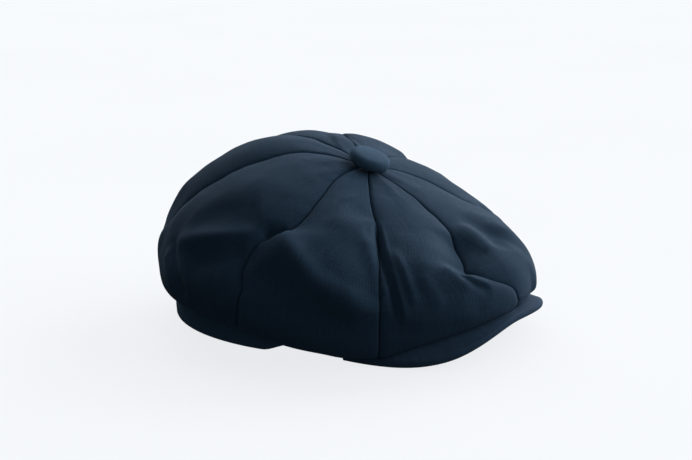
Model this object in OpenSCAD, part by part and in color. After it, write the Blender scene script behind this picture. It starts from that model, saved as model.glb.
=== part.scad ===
// Newsboy cap with eight crown panels, a sewn-down peak and a covered button.
// The cap lies on a flat surface at z = 0. The front of the cap faces -Y and the wearer's left is +X.
// All sizes are in millimetres.

/* [Head opening] */
// Length of the opening inside the sweatband, front to back
head_length = 198; // [190:1:200]
// Width of the opening inside the sweatband
head_width = 172; // [162:1:180]
// Height of the outer band
band_height = 28; // [24:1:31]
// How far the front of the rim is lifted by the arch of the peak
rim_lift = 20; // [17:1:22]

/* [Crown] */
// Width of the crown at its widest
crown_width = 248; // [242:1:260]
// Reach of the crown forward of its widest line
crown_front = 131; // [128:1:133]
// Reach of the crown behind its widest line
crown_back = 122; // [121:1:130]
// Height of the point under the button
crown_height = 104; // [101:1:110]
// Forward lean of the crown under the button, in degrees
crown_lean = 23; // [19:1:24]
// Height of the widest line at the sides
side_height = 40; // [38:1:48]
// Height of the widest line at the front
front_height = 31; // [30:1:38]

/* [Peak] */
// Half the width of the peak
peak_half = 80; // [78:1:82]
// Depth of the peak from its corners to its front edge
peak_depth = 77; // [75:1:80]
// Height of the middle of the front edge
peak_edge_height = 22; // [20:1:24]

/* [Cloth] */
// Thickness of the crown cloth
cloth = 1.4; // [1:0.1:1.8]
// Thickness of the lining cloth
lining_cloth = 0.6; // [0.4:0.1:0.8]

/* [Button] */
// Diameter of the covered button
button_d = 27; // [23:1:29]

/* [Hidden] */

panels = 8;
panel_turn = 360 / panels;
seam_gap = 0.06;          // half the gap between neighbouring panels, in degrees
seam_dip = 0.02;          // how far a seam draws the crown's outline in
apex_hole = 3;            // radius left open under the button for its thread

navy = [0.13, 0.17, 0.23];
lining_colour = [0.10, 0.11, 0.15];

// Band, from the outside in
outer_cloth = 1.6;
stay_thickness = 0.9;
sweat_thickness = 1.5;
layer_gap = 0.1;
lining_space = 1.2;       // between the stay and the sweatband, where the lining's edge is caught
sweat_inset = outer_cloth + stay_thickness + layer_gap + lining_space;
band_layers = sweat_inset + sweat_thickness;
ring_x = head_width / 2 + band_layers;
ring_y = head_length / 2 + band_layers;
sweat_height = 32;
side_lift = 5;            // how far the rim is already lifted just behind the peak's corners
lift_start = 0.5;         // how far towards the front the rim starts its main rise, as a share of ring_y

crown_mid_y = -14;        // the crown's widest line, from the middle of the head opening
button_y = -34;           // the button, from the middle of the head opening
fold_height = 4.5;        // lowest point of the crown's overhang beside the peak's corners
fold_height_back = 20;    // and behind

board_thickness = 2.2;
cover_cloth = 1.3;
peak_corner_y = -70;      // the peak's corners, from the middle of the head opening
peak_corner_height = 3.7;
peak_root_turn = 54;      // where the peak leaves the rim, in degrees from the front
peak_camber = 2.0;
peak_middle = -1.2;       // the board's middle surface, from the peak's reference surface
board_margin = 0.93;      // the board ends at this share of the peak's depth
peak_square = 2.5;        // how square the peak's outline is; 2 is an ellipse
peak_drop_right = 2.2;    // the higher, the sooner the free edge drops towards that corner
peak_drop_left = 0.55;

// The origin is under the middle of the cap, so everything moves back by half the difference of its ends.
front_end = peak_corner_y - peak_depth;
back_end = crown_mid_y + crown_back;
centre_y = -(front_end + back_end) / 2;

function mix(a, b, k) = a * (1 - k) + b * k;
function soft_step(k) = let (c = min(1, max(0, k))) c * c * (3 - 2 * c);
function signed_power(v, p) = sign(v) * pow(abs(v), p);

// A point on the band's outer face, seen from above. turn is 0 at the front and 90 on the wearer's right.
function ring_point(turn, inset = 0) = [-(ring_x - inset) * sin(turn), -(ring_y - inset) * cos(turn)];
function rim_z(turn) =
    side_lift * soft_step((cos(turn) - 0.15) / 0.18)
    + (rim_lift - side_lift) * soft_step((cos(turn) - lift_start) / (1 - lift_start));

// 0 on a seam and 1 in the middle of a panel
function puff(turn) = pow(abs(sin(turn * panels / 2)), 0.8);

// The crown's widest line, seen from above
function outline_power(turn) = cos(turn) > 0 ? 2 / 1.73 : 2 / 1.9;
function outline_reach(turn) = cos(turn) > 0 ? crown_front : crown_back;
function crown_outline(turn) =
    let (draw = 1 - seam_dip * (1 - puff(turn)), p = outline_power(turn))
    [
        -crown_width / 2 * draw * signed_power(sin(turn), p),
        crown_mid_y - outline_reach(turn) * draw * signed_power(cos(turn), p)
    ];
function widest_z(turn) =
    mix(side_height, cos(turn) > 0 ? front_height : side_height + 2, pow(cos(turn), 2));

// The crown from the button (u = 0) out to its widest line (u = 1).
// A seam runs lower than the middle of a panel.
function crown_top(turn, u) =
    let (
        edge = crown_outline(turn),
        out = sin(90 * u),
        up = max(0, cos(90 * u)),
        sag = mix(1.5, 0.95, puff(turn)),
        y = mix(button_y, edge[1], out),
        low = widest_z(turn)
    )
    [
        edge[0] * out,
        y,
        low + (crown_height - low) * pow(up, sag) + tan(crown_lean) * (y - button_y) * up * up
    ];

// The peak's surface between the rim (w = 0) and its free edge (w = 1)
function peak_edge(turn) =
    let (a = turn / peak_root_turn * 90)
    [
        -peak_half * signed_power(sin(a), 2 / peak_square),
        peak_corner_y - peak_depth * pow(max(0, cos(a)), 2 / peak_square)
    ];
// As the cap rests, the free edge drops early on the wearer's right and stays up longer on the left.
function peak_edge_z(x) =
    let (drop = x < 0 ? peak_drop_right : peak_drop_left)
    mix(peak_corner_height, peak_edge_height, pow(max(0, 1 - pow(abs(x) / peak_half, 2)), drop));
function peak_point(turn, w, rise = 0) =
    let (root = ring_point(turn, -layer_gap), edge = peak_edge(turn), x = mix(root[0], edge[0], w))
    [
        x,
        mix(root[1], edge[1], w),
        mix(rim_z(turn) + peak_corner_height, peak_edge_z(edge[0]), w)
            + 4 * peak_camber * w * (1 - w) + rise
    ];

// The turn at which the peak's line from rim to edge passes over or under a point seen from above
function peak_turn(p, low = -peak_root_turn, high = peak_root_turn, steps = 16) =
    let (
        middle = (low + high) / 2,
        root = ring_point(middle, -layer_gap),
        side = cross(peak_edge(middle) - root, p - root)
    )
    steps == 0
        ? middle
        : side > 0 ? peak_turn(p, low, middle, steps - 1) : peak_turn(p, middle, high, steps - 1);

// Height of the peak's upper face at a point seen from above
function peak_top_z(p) =
    let (
        turn = peak_turn(p),
        root = ring_point(turn, -layer_gap),
        line = peak_edge(turn) - root,
        w = min(1, max(0, (p - root) * line / (line * line)))
    )
    peak_point(turn, w, peak_middle + board_thickness / 2 + cover_cloth)[2];

// The bottom of the crown's overhang.
// It rests on the peak at the front, and hangs clear of the surface elsewhere.
fold_gap = 1.2;
function over_peak(turn) = soft_step((cos(turn) - 0.5) / 0.2);
function fold_share(turn) =
    mix(
        mix(0.6, 0.32, soft_step((0.1 - cos(turn)) / 0.5)),
        mix(0.84, 0.96, pow(max(0, (cos(turn) - 0.85) / 0.15), 2)),
        over_peak(turn)
    );
function fold_point(turn) =
    mix(ring_point(turn), crown_outline(turn), fold_share(turn));
function fold_z(turn) =
    let (rest = mix(fold_height, fold_height_back, soft_step((0.75 - cos(turn)) / 0.85)))
    over_peak(turn) == 0 ? rest : mix(rest, peak_top_z(fold_point(turn)) + fold_gap, over_peak(turn));

// The crown's overhang from the widest line (v = 0) under and back up to the top of the band (v = 1)
function crown_under(turn, v) =
    let (
        edge = crown_outline(turn),
        fold = fold_point(turn),
        ring = ring_point(turn),
        top = rim_z(turn) + band_height,
        first = v < 0.5,
        a = first ? 180 * v : 180 * (v - 0.5),
        k = first ? 1 - cos(a) : sin(a),
        p = first ? mix(edge, fold, k) : mix(fold, ring, k),
        z = first ? mix(widest_z(turn), fold_z(turn), sin(a)) : mix(fold_z(turn), top, 1 - cos(a)),
        share = first ? 0 : over_peak(turn)
    )
    [p[0], p[1], share == 0 ? z : mix(z, max(z, peak_top_z(p) + fold_gap), share)];

// The whole run of a crown panel: t from 0 at the button to 1 at the widest line and 2 at the band
function crown_run(turn, t) = t <= 1 ? crown_top(turn, t) : crown_under(turn, t - 1);

function unit(v) = v / norm(v);
function crown_normal(turn, t) =
    let (
        d = 0.4,
        e = 0.004,
        across = crown_run(turn + d, t) - crown_run(turn - d, t),
        along = crown_run(turn, min(2, t + e)) - crown_run(turn, max(0, t - e))
    )
    unit(cross(across, along));
// Near a seam, the inner face follows the mean of the two panels.
function crown_inner(turn, t, depth) =
    crown_run(turn, t)
    - depth * unit(crown_normal(turn, t) + crown_normal(turn - 0.9, t) + crown_normal(turn + 0.9, t));

// The lining: a plain dome from the top of the sweatband to just under the button's stay
lining_inset = outer_cloth + stay_thickness + 2 * layer_gap;
lining_top = crown_height - 14;
function lining_point(turn, u, depth = 0) =
    let (
        ring = ring_point(turn, lining_inset),
        out = sin(90 * u),
        up = cos(90 * u),
        low = rim_z(turn) + sweat_height - 4,
        y = mix(button_y, ring[1], out)
    )
    [
        (ring[0] + depth * sin(turn)) * out,
        y + depth * cos(turn) * out,
        low + (lining_top - low - depth) * pow(up, 1.15) + tan(crown_lean) * (y - button_y) * up * up * 0.6
    ];

// Faces of a closed sheet made of an outer grid of rows by cols points and then an inner grid of that size
function sheet_faces(rows, cols, wrap = false) =
    let (
        n = rows * cols,
        last = wrap ? cols : cols - 1,
        at = function(side, r, c) side * n + r * cols + c % cols
    )
    concat(
        [for (r = [0:rows - 2], c = [0:last - 1]) each [
            [at(0, r, c), at(0, r, c + 1), at(0, r + 1, c + 1)],
            [at(0, r, c), at(0, r + 1, c + 1), at(0, r + 1, c)],
            [at(1, r, c), at(1, r + 1, c + 1), at(1, r, c + 1)],
            [at(1, r, c), at(1, r + 1, c), at(1, r + 1, c + 1)]
        ]],
        [for (c = [0:last - 1]) each [
            [at(0, 0, c), at(1, 0, c), at(1, 0, c + 1)],
            [at(0, 0, c), at(1, 0, c + 1), at(0, 0, c + 1)],
            [at(0, rows - 1, c), at(1, rows - 1, c + 1), at(1, rows - 1, c)],
            [at(0, rows - 1, c), at(0, rows - 1, c + 1), at(1, rows - 1, c + 1)]
        ]],
        wrap ? [] : [for (r = [0:rows - 2]) each [
            [at(0, r, 0), at(0, r + 1, 0), at(1, r + 1, 0)],
            [at(0, r, 0), at(1, r + 1, 0), at(1, r, 0)],
            [at(0, r, cols - 1), at(1, r + 1, cols - 1), at(0, r + 1, cols - 1)],
            [at(0, r, cols - 1), at(1, r, cols - 1), at(1, r + 1, cols - 1)]
        ]]
    );

module sheet(outer, inner, wrap = false) {
    rows = len(outer);
    cols = len(outer[0]);
    polyhedron(
        points = concat([for (r = outer) each r], [for (r = inner) each r]),
        faces = sheet_faces(rows, cols, wrap),
        convexity = 6
    );
}

module in_place() {
    translate([0, centre_y, 0]) children();
}

// Panel number 0 is the wearer's front right one, and the numbers go round by the back.
crown_cols = 8;
crown_steps = concat(
    [for (i = [0:11]) mix(0.022, 1, i / 11)],
    [for (i = [1:8]) 1 + i / 8]
);
function panel_turns(i, cols) =
    [for (c = [0:cols]) panel_turn * i + seam_gap + (panel_turn - 2 * seam_gap) * c / cols];

module crown_panel(i) {
    turns = panel_turns(i, crown_cols);
    color(navy) in_place()
        sheet(
            [for (t = crown_steps) [for (a = turns) crown_run(a, t)]],
            [for (t = crown_steps) [for (a = turns) crown_inner(a, t, cloth)]]
        );
}

lining_cols = 5;
lining_steps = [for (i = [0:10]) mix(0.015, 1, i / 10)];
module lining_panel(i) {
    turns = panel_turns(i, lining_cols);
    color(lining_colour) in_place()
        sheet(
            [for (u = lining_steps) [for (a = turns) lining_point(a, u)]],
            [for (u = lining_steps) [for (a = turns) lining_point(a, u, lining_cloth)]]
        );
}

// A strip that runs all round the opening, between two heights above the rim
ring_cols = 72;
module ring_strip(inset, thickness, low, high) {
    turns = [for (c = [0:ring_cols - 1]) 360 * c / ring_cols];
    heights = [high, low];
    in_place()
        sheet(
            [for (h = heights) [for (a = turns) concat(ring_point(a, inset), rim_z(a) + h)]],
            [for (h = heights) [for (a = turns) concat(ring_point(a, inset + thickness), rim_z(a) + h)]],
            wrap = true
        );
}

module outer_band() {
    color(navy) ring_strip(0, outer_cloth, 0, band_height - layer_gap);
}

module band_stay() {
    color("white") ring_strip(outer_cloth + layer_gap, stay_thickness, 1.5, band_height - 1);
}

module sweatband() {
    color([0.08, 0.09, 0.12])
        ring_strip(sweat_inset, sweat_thickness, 0.6, sweat_height);
}

// One row of stitches near the sweatband's lower edge
stitch_count = 120;
stitch_length = 3.4;
stitch_d = 0.5;
stitch_height = 4;
module sweatband_stitches() {
    color([0.2, 0.24, 0.3]) in_place()
        for (i = [0:stitch_count - 1]) {
            a = 360 * (i + 0.5) / stitch_count;
            p = ring_point(a, band_layers + stitch_d / 2 + 0.05);
            q = ring_point(a + 1, band_layers + stitch_d / 2 + 0.05);
            heading = atan2(q[1] - p[1], q[0] - p[0]);
            rise = atan2(rim_z(a + 1) - rim_z(a), norm(q - p));
            translate([p[0], p[1], rim_z(a) + stitch_height])
                rotate([0, 90 - rise, heading])
                    cylinder(h = stitch_length, d = stitch_d, center = true, $fn = 16);
        }
}

// A blank label that lies on the inside of the sweatband or the lining
label_cloth = 0.5;
label_gap = 0.15;
module sweatband_label(middle, width, low, high) {
    inset = band_layers + label_gap;
    half = width / head_length * 57;
    turns = [for (c = [0:4]) mix(middle - half, middle + half, c / 4)];
    color("white") in_place()
        sheet(
            [for (h = [high, low]) [for (a = turns) concat(ring_point(a, inset), rim_z(a) + h)]],
            [for (h = [high, low]) [for (a = turns) concat(ring_point(a, inset + label_cloth), rim_z(a) + h)]]
        );
}

module size_label() {
    sweatband_label(180, 14, 7, 23);
}

module care_label() {
    sweatband_label(246, 26, 8, 26);
}

module lining_label() {
    turns = [for (c = [0:6]) mix(159, 201, c / 6)];
    steps = [for (i = [0:3]) mix(0.42, 0.60, i / 3)];
    depth = lining_cloth + label_gap;
    color([0.75, 0.72, 0.65]) in_place()
        sheet(
            [for (u = steps) [for (a = turns) lining_point(a, u, depth)]],
            [for (u = steps) [for (a = turns) lining_point(a, u, depth + label_cloth)]]
        );
}

// The peak: a stiff board between two covers that meet round its free edge
peak_cols = 28;
peak_turns = [for (c = [0:peak_cols]) mix(-peak_root_turn, peak_root_turn, c / peak_cols)];
cover_steps = [0, 0.2, 0.4, 0.6, 0.8, board_margin, board_margin + 0.01, 0.985, 1];
half_board = board_thickness / 2;
function cover_outer(w) = half_board + cover_cloth * (w < 0.98 ? 1 : w < 0.99 ? 0.85 : 0.35);
function cover_inner(w) = w <= board_margin + 0.001 ? half_board + 0.05 : 0.05;

// side is 1 for the top cover and -1 for the one underneath
module peak_cover(side) {
    upper = [for (w = cover_steps)
        [for (a = peak_turns) peak_point(a, w, peak_middle + side * cover_outer(w))]];
    lower = [for (w = cover_steps)
        [for (a = peak_turns) peak_point(a, w, peak_middle + side * cover_inner(w))]];
    color(navy) in_place()
        if (side > 0) sheet(lower, upper);
        else sheet(upper, lower);
}

module peak_top_cover() {
    peak_cover(1);
}

module peak_under_cover() {
    peak_cover(-1);
}

module peak_board() {
    steps = [for (i = [0:5]) mix(0.004, board_margin - 0.002, i / 5)];
    color("white") in_place()
        sheet(
            [for (w = steps) [for (a = peak_turns) peak_point(a * 0.99, w, peak_middle - half_board)]],
            [for (w = steps) [for (a = peak_turns) peak_point(a * 0.99, w, peak_middle + half_board)]]
        );
}

// Short bars of thread, well under the overhang, that hold the crown's front down on the peak
tack_turns = [-24, -8, 8, 24];
module peak_tacks() {
    color([0.2, 0.24, 0.3]) in_place()
        for (a = tack_turns) {
            p = mix(ring_point(a), fold_point(a), 0.8);
            translate([p[0], p[1], peak_top_z(p) + fold_gap / 2])
                cylinder(h = fold_gap * 0.6, d = 0.9, center = true, $fn = 16);
        }
}

// The button, in its own frame: z = 0 is the underside and +Z is its crown
button_r = button_d / 2;
button_cloth = 1.0;
shell_thickness = 0.5;
dome_rise = 3.6;
wall_height = 4;
function dome_points(r, wall, rise) =
    [for (i = [0:12]) [r * cos(90 * i / 12), wall + rise * sin(90 * i / 12)]];

module on_crown(rise = 0) {
    in_place()
        translate([0, button_y, crown_height])
            rotate([crown_lean, 0, 0])
                translate([0, 0, rise])
                    children();
}

button_rise = 0.8;
module button_cover() {
    lip = button_r - 4;
    color(navy) on_crown(button_rise)
        rotate_extrude($fn = 96)
            polygon(concat(
                [[lip, 0], [button_r - 1, 0], [button_r, 0.8]],
                dome_points(button_r, wall_height, dome_rise),
                [[0, wall_height + dome_rise - button_cloth]],
                [for (i = [11:-1:0])
                    [
                        (button_r - button_cloth) * cos(90 * i / 12),
                        wall_height + (dome_rise - button_cloth) * sin(90 * i / 12)
                    ]],
                [[button_r - button_cloth, button_cloth], [lip, button_cloth]]
            ));
}

module button_shell() {
    r = button_r - button_cloth - 0.1;
    color("silver") on_crown(button_rise)
        rotate_extrude($fn = 96)
            polygon(concat(
                [[r, button_cloth + 0.1]],
                dome_points(r, wall_height, dome_rise - button_cloth - 0.1),
                [[0, wall_height + dome_rise - button_cloth - 0.1 - shell_thickness]],
                [for (i = [11:-1:0])
                    [
                        (r - shell_thickness) * cos(90 * i / 12),
                        wall_height + (dome_rise - button_cloth - 0.1 - shell_thickness) * sin(90 * i / 12)
                    ]],
                [[r - shell_thickness, button_cloth + 0.1]]
            ));
}

module button_back() {
    color("silver") on_crown(button_rise)
        difference() {
            translate([0, 0, button_cloth + 0.1])
                cylinder(h = 0.6, r = button_r - button_cloth - 0.1 - shell_thickness - 0.1, $fn = 96);
            for (side = [-1, 1])
                translate([side * 1.9, 0, 0]) cylinder(h = 4, r = 0.6, $fn = 32);
        }
}

// A wire loop that hangs from the back plate
module button_shank() {
    color("silver") on_crown(button_rise)
        for (side = [-1, 1])
            translate([side * 1.9, 0, 0.4]) cylinder(h = 2.6, r = 0.5, $fn = 32);
    color("silver") on_crown(button_rise + 0.4)
        rotate([-90, 0, 0])
            rotate_extrude(angle = 180, $fn = 48)
                translate([1.9, 0]) circle(r = 0.5, $fn = 24);
}

// Thread from the shank through the crown, with a flat knot inside
thread_r = 0.9;
knot_depth = 6;
module button_thread() {
    color(navy) on_crown(-knot_depth)
        union() {
            cylinder(h = knot_depth + button_rise - 1.1 - 0.1, r = thread_r, $fn = 32);
            cylinder(h = 1.2, r = 2.4, $fn = 32);
        }
}

// A round patch inside the crown that spreads the button's pull
module apex_stay() {
    color("white") on_crown(-knot_depth + 1.4)
        difference() {
            cylinder(h = 0.8, r = 13, $fn = 64);
            translate([0, 0, -1]) cylinder(h = 3, r = thread_r + 0.1, $fn = 32);
        }
}

for (i = [0:panels - 1]) {
    crown_panel(i);
    lining_panel(i);
}
outer_band();
band_stay();
sweatband();
sweatband_stitches();
size_label();
care_label();
lining_label();
peak_top_cover();
peak_board();
peak_under_cover();
peak_tacks();
button_cover();
button_shell();
button_back();
button_shank();
button_thread();
apex_stay();
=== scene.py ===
"""Newsboy cap: cloth crown, band, peak, covered button and inner pieces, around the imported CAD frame.

Shapes are worked out in millimetres from the middle of the head opening and moved into the frame at the end.
"turn" is an angle round the cap: 0 at the front, 90 on the wearer's right, 180 at the back.
"t" runs down a crown panel: 0 at the button, 1 at the widest line, 2 at the band.
"""
import math
import bpy
import numpy as np
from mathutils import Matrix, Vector, noise


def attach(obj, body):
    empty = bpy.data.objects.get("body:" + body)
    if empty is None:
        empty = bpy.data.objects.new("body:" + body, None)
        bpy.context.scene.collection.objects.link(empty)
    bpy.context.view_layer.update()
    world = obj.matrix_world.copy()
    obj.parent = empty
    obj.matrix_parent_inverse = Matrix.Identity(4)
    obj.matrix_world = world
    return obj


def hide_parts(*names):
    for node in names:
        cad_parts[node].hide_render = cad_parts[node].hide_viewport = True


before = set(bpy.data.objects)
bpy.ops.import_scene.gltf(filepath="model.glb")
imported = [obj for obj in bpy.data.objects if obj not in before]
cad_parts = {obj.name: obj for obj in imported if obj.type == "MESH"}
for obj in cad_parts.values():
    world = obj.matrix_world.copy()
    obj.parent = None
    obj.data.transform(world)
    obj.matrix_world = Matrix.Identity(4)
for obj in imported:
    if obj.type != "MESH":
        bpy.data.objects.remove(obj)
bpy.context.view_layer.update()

MM = 0.001
CENTRE_Y = 19.5           # middle of the head opening in the frame, mm

# Sizes shared with the CAD part, mm and degrees. Those of the crown and the peak started from a
# least-squares fit of the smooth cap to the photograph's outline and seams: sizes rounded to whole mm and some
# then moved, and the two powers of the outline, FRONT_SQUARE and BACK_SQUARE, kept as the fit gave them.
HEAD_X, HEAD_Y = 86.0, 99.0                          # half the head opening, sideways and front to back
OUTER_CLOTH, STAY, SWEAT = 1.6, 0.9, 1.5             # thickness of the outer band, its stay and the sweatband
GAP = 0.1                                            # clearance between pieces
LINING_ROOM = 1.2                                    # between the stay and the sweatband
SWEAT_INSET = OUTER_CLOTH + STAY + GAP + LINING_ROOM
BAND_LAYERS = SWEAT_INSET + SWEAT
RING_X, RING_Y = HEAD_X + BAND_LAYERS, HEAD_Y + BAND_LAYERS
BAND_H, SWEAT_H = 28.0, 32.0                         # heights over the rim
RIM_LIFT, SIDE_LIFT = 20.0, 5.0                      # how far the rim rises at the front, and beside the peak
LIFT_START, STEP_START, STEP_RUN = 0.5, 0.15, 0.18   # where it rises, as cosines of the turn
CROWN_W, CROWN_FRONT, CROWN_BACK = 248.0, 131.0, 122.0
CROWN_MID = -14.0                                    # y of the widest line's middle
FRONT_SQUARE, BACK_SQUARE = 1.73, 1.9                # 2 is an ellipse, and less is more pointed
SEAM_DRAW, SEAM_SAG = 0.015, 1.4                     # share by which seams draw the crown in, and their sag
APEX_Y, APEX_Z, LEAN = -34.0, 104.0, 23.0            # place and lean of the crown's top
SIDE_Z, BACK_Z, FRONT_Z = 40.0, 42.0, 31.0           # height of the crown's widest line
# where the crown folds under, as a share of the way from the band to the widest line
FOLD_SIDE, FOLD_BACK, FOLD_PEAK, FOLD_FRONT = 0.6, 0.32, 0.84, 0.96
FOLD_SIDE_Z, FOLD_BACK_Z = 4.5, 20.0
FOLD_GAP = 1.2                                       # between the crown's fold and the peak
PEAK_HALF, PEAK_DEPTH, PEAK_EDGE_Z = 80.0, 77.0, 22.0
PEAK_CORNER_Y, PEAK_CORNER_Z = -70.0, 3.7
PEAK_DROP_RIGHT, PEAK_DROP_LEFT = 2.2, 0.55          # how soon the free edge drops towards each corner
PEAK_TURN, PEAK_CAMBER, PEAK_SQUARE = 54.0, 2.0, 2.5
BOARD, COVER = 2.2, 1.3                              # thickness of the peak's board and of each cover
PEAK_MIDDLE = -1.2
BUTTON_RISE, STAY_RISE = 0.8, -4.6                   # from the crown's top, along its lean
LEAN_TAN = math.tan(math.radians(LEAN))


# ---------------------------------------------------------------- small maths
def mix(a, b, k):
    return a * (1 - k) + b * k


def soft(k):
    c = np.clip(k, 0, 1)
    return c * c * (3 - 2 * c)


def spow(v, p):
    return np.sign(v) * np.abs(v) ** p


def cosd(a):
    return np.cos(np.deg2rad(a))


def sind(a):
    return np.sin(np.deg2rad(a))


def unit(v):
    return v / (np.linalg.norm(v, axis=-1, keepdims=True) + 1e-9)


def lengths_along(line):
    """Distance from a line's first point to each of its points."""
    return np.concatenate([[0], np.cumsum(np.linalg.norm(np.diff(line, axis=0), axis=-1))])


def depths_down(grid):
    """Mean distance from a grid's first row to each of its rows."""
    return np.concatenate([[0], np.cumsum(np.linalg.norm(np.diff(grid, axis=0), axis=-1).mean(1))])


def noise3(points, wavelength, seed):
    """Smooth noise from -1 to 1 at each point, with bumps about a wavelength apart."""
    flat = np.asarray(points, float).reshape(-1, 3) / wavelength * 1.6
    shift = Vector((seed * 7.31, seed * 3.17, seed * 5.93))
    out = np.array([noise.noise(Vector(p) + shift) for p in flat])
    return out.reshape(np.asarray(points).shape[:-1])


# ---------------------------------------------------------------- shape of the cap
def ring(turn, inset=0.0):
    """The band's outer line from above, or a line inside it."""
    return np.stack([-(RING_X - inset) * sind(turn), -(RING_Y - inset) * cosd(turn)], -1)


def rim_z(turn):
    """Height of the band's lower edge: up a small step beside the peak, then a long slope over it."""
    c = cosd(turn)
    step = SIDE_LIFT * soft((c - STEP_START) / STEP_RUN)
    return step + (RIM_LIFT - SIDE_LIFT) * soft((c - LIFT_START) / (1 - LIFT_START))


def outline(turn, puff):
    """The crown's widest line from above. Seams, where the puff is 0, draw it in."""
    c = cosd(turn)
    draw = 1 - SEAM_DRAW * (1 - puff)
    power = np.where(c > 0, 2 / FRONT_SQUARE, 2 / BACK_SQUARE)
    reach = np.where(c > 0, CROWN_FRONT, CROWN_BACK)
    x = -CROWN_W / 2 * draw * spow(sind(turn), power)
    return np.stack([x, CROWN_MID - reach * draw * spow(c, power)], -1)


def widest_z(turn):
    """Height of the crown's widest line."""
    c = cosd(turn)
    return mix(SIDE_Z, np.where(c > 0, FRONT_Z, BACK_Z), c * c)


def crown_top(turn, puff, u):
    """The crown from under the button (u 0) to its widest line (u 1)."""
    edge = outline(turn, puff)
    out, up = sind(90 * u), np.maximum(0, cosd(90 * u))
    sag = mix(SEAM_SAG, 1.0, puff)
    y = mix(APEX_Y, edge[..., 1], out)
    low = widest_z(turn)
    z = low + (APEX_Z - low) * up ** sag + LEAN_TAN * (y - APEX_Y) * up * up
    return np.stack([edge[..., 0] * out, y, z], -1)


def peak_edge(turn):
    """The peak's free edge from above."""
    a = turn / PEAK_TURN * 90
    return np.stack([-PEAK_HALF * spow(sind(a), 2 / PEAK_SQUARE),
                     PEAK_CORNER_Y - PEAK_DEPTH * np.maximum(0, cosd(a)) ** (2 / PEAK_SQUARE)], -1)


def peak_edge_z(x):
    drop = np.where(x < 0, PEAK_DROP_RIGHT, PEAK_DROP_LEFT)
    return mix(PEAK_CORNER_Z, PEAK_EDGE_Z, np.maximum(0, 1 - (np.abs(x) / PEAK_HALF) ** 2) ** drop)


def peak_point(turn, w):
    """The surface that the peak follows: w runs from the band (0) to the free edge (1)."""
    root, edge = ring(turn, -GAP), peak_edge(turn)
    z = mix(rim_z(turn) + PEAK_CORNER_Z, peak_edge_z(edge[..., 0]), w) + 4 * PEAK_CAMBER * w * (1 - w)
    return np.stack([mix(root[..., 0], edge[..., 0], w), mix(root[..., 1], edge[..., 1], w), z], -1)


def peak_top_z(p):
    """Height of the peak's upper face at points seen from above."""
    low = np.full(p.shape[:-1], -PEAK_TURN)
    high = np.full(p.shape[:-1], PEAK_TURN)
    # halve the span of angles until the line from band to edge runs through each point
    for _ in range(14):
        turn = (low + high) / 2
        root = ring(turn, -GAP)
        line, to = peak_edge(turn) - root, p - root
        before = line[..., 0] * to[..., 1] - line[..., 1] * to[..., 0] > 0
        low, high = np.where(before, low, turn), np.where(before, turn, high)
    root = ring(turn, -GAP)
    line = peak_edge(turn) - root
    w = np.clip(((p - root) * line).sum(-1) / (line * line).sum(-1), 0, 1)
    return peak_point(turn, w)[..., 2] + PEAK_MIDDLE + BOARD / 2 + COVER


def over_peak(turn):
    """1 where the crown lies over the peak, and 0 elsewhere."""
    return soft((cosd(turn) - 0.5) / 0.2)


def fold_point(turn, puff):
    """Where the crown folds back under itself, seen from above."""
    c = cosd(turn)
    beside = mix(FOLD_SIDE, FOLD_BACK, soft((0.1 - c) / 0.5))
    front = mix(FOLD_PEAK, FOLD_FRONT, np.maximum(0, (c - 0.85) / 0.15) ** 2)
    k = mix(beside, front, over_peak(turn))[..., None]
    return ring(turn) * (1 - k) + outline(turn, puff) * k


def fold_z(turn, puff):
    rest = mix(FOLD_SIDE_Z, FOLD_BACK_Z, soft((0.75 - cosd(turn)) / 0.85))
    return mix(rest, peak_top_z(fold_point(turn, puff)) + FOLD_GAP, over_peak(turn))


def crown_under(turn, puff, v):
    """The crown from its widest line (v 0) round the fold (v 0.5) to the band (v 1), in two quarter turns."""
    edge, fold, root = outline(turn, puff), fold_point(turn, puff), ring(turn)
    first = v < 0.5
    a = np.where(first, 180 * v, 180 * (v - 0.5))
    k = np.where(first, 1 - cosd(a), sind(a))[..., None]
    xy = np.where(first[..., None], edge * (1 - k) + fold * k, fold * (1 - k) + root * k)
    low = fold_z(turn, puff)
    z = np.where(first, mix(widest_z(turn), low, sind(a)), mix(low, rim_z(turn) + BAND_H, 1 - cosd(a)))
    on_peak = np.where(first, 0, over_peak(turn))
    z = mix(z, np.maximum(z, peak_top_z(xy) + FOLD_GAP), on_peak)
    return np.concatenate([xy, z[..., None]], -1)


def crown_run(turn, puff, t):
    """Points of the smooth crown. puff: 0 on a seam, 1 in the middle of a panel."""
    turn, puff, t = np.broadcast_arrays(*[np.asarray(v, float) for v in (turn, puff, t)])
    above = crown_top(turn, puff, np.clip(t, 0, 1))
    below = crown_under(turn, puff, np.clip(t - 1, 0, 1))
    return np.where((t <= 1)[..., None], above, below)


def crown_normal(turn, t):
    """Outward normal of the smooth crown, without the panels' puff."""
    aside, ahead = 1.5, 0.012
    across = crown_run(turn + aside, 0.5, t) - crown_run(turn - aside, 0.5, t)
    along = crown_run(turn, 0.5, np.minimum(2, t + ahead)) - crown_run(turn, 0.5, np.maximum(0, t - ahead))
    return -unit(np.cross(along, across))


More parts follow.
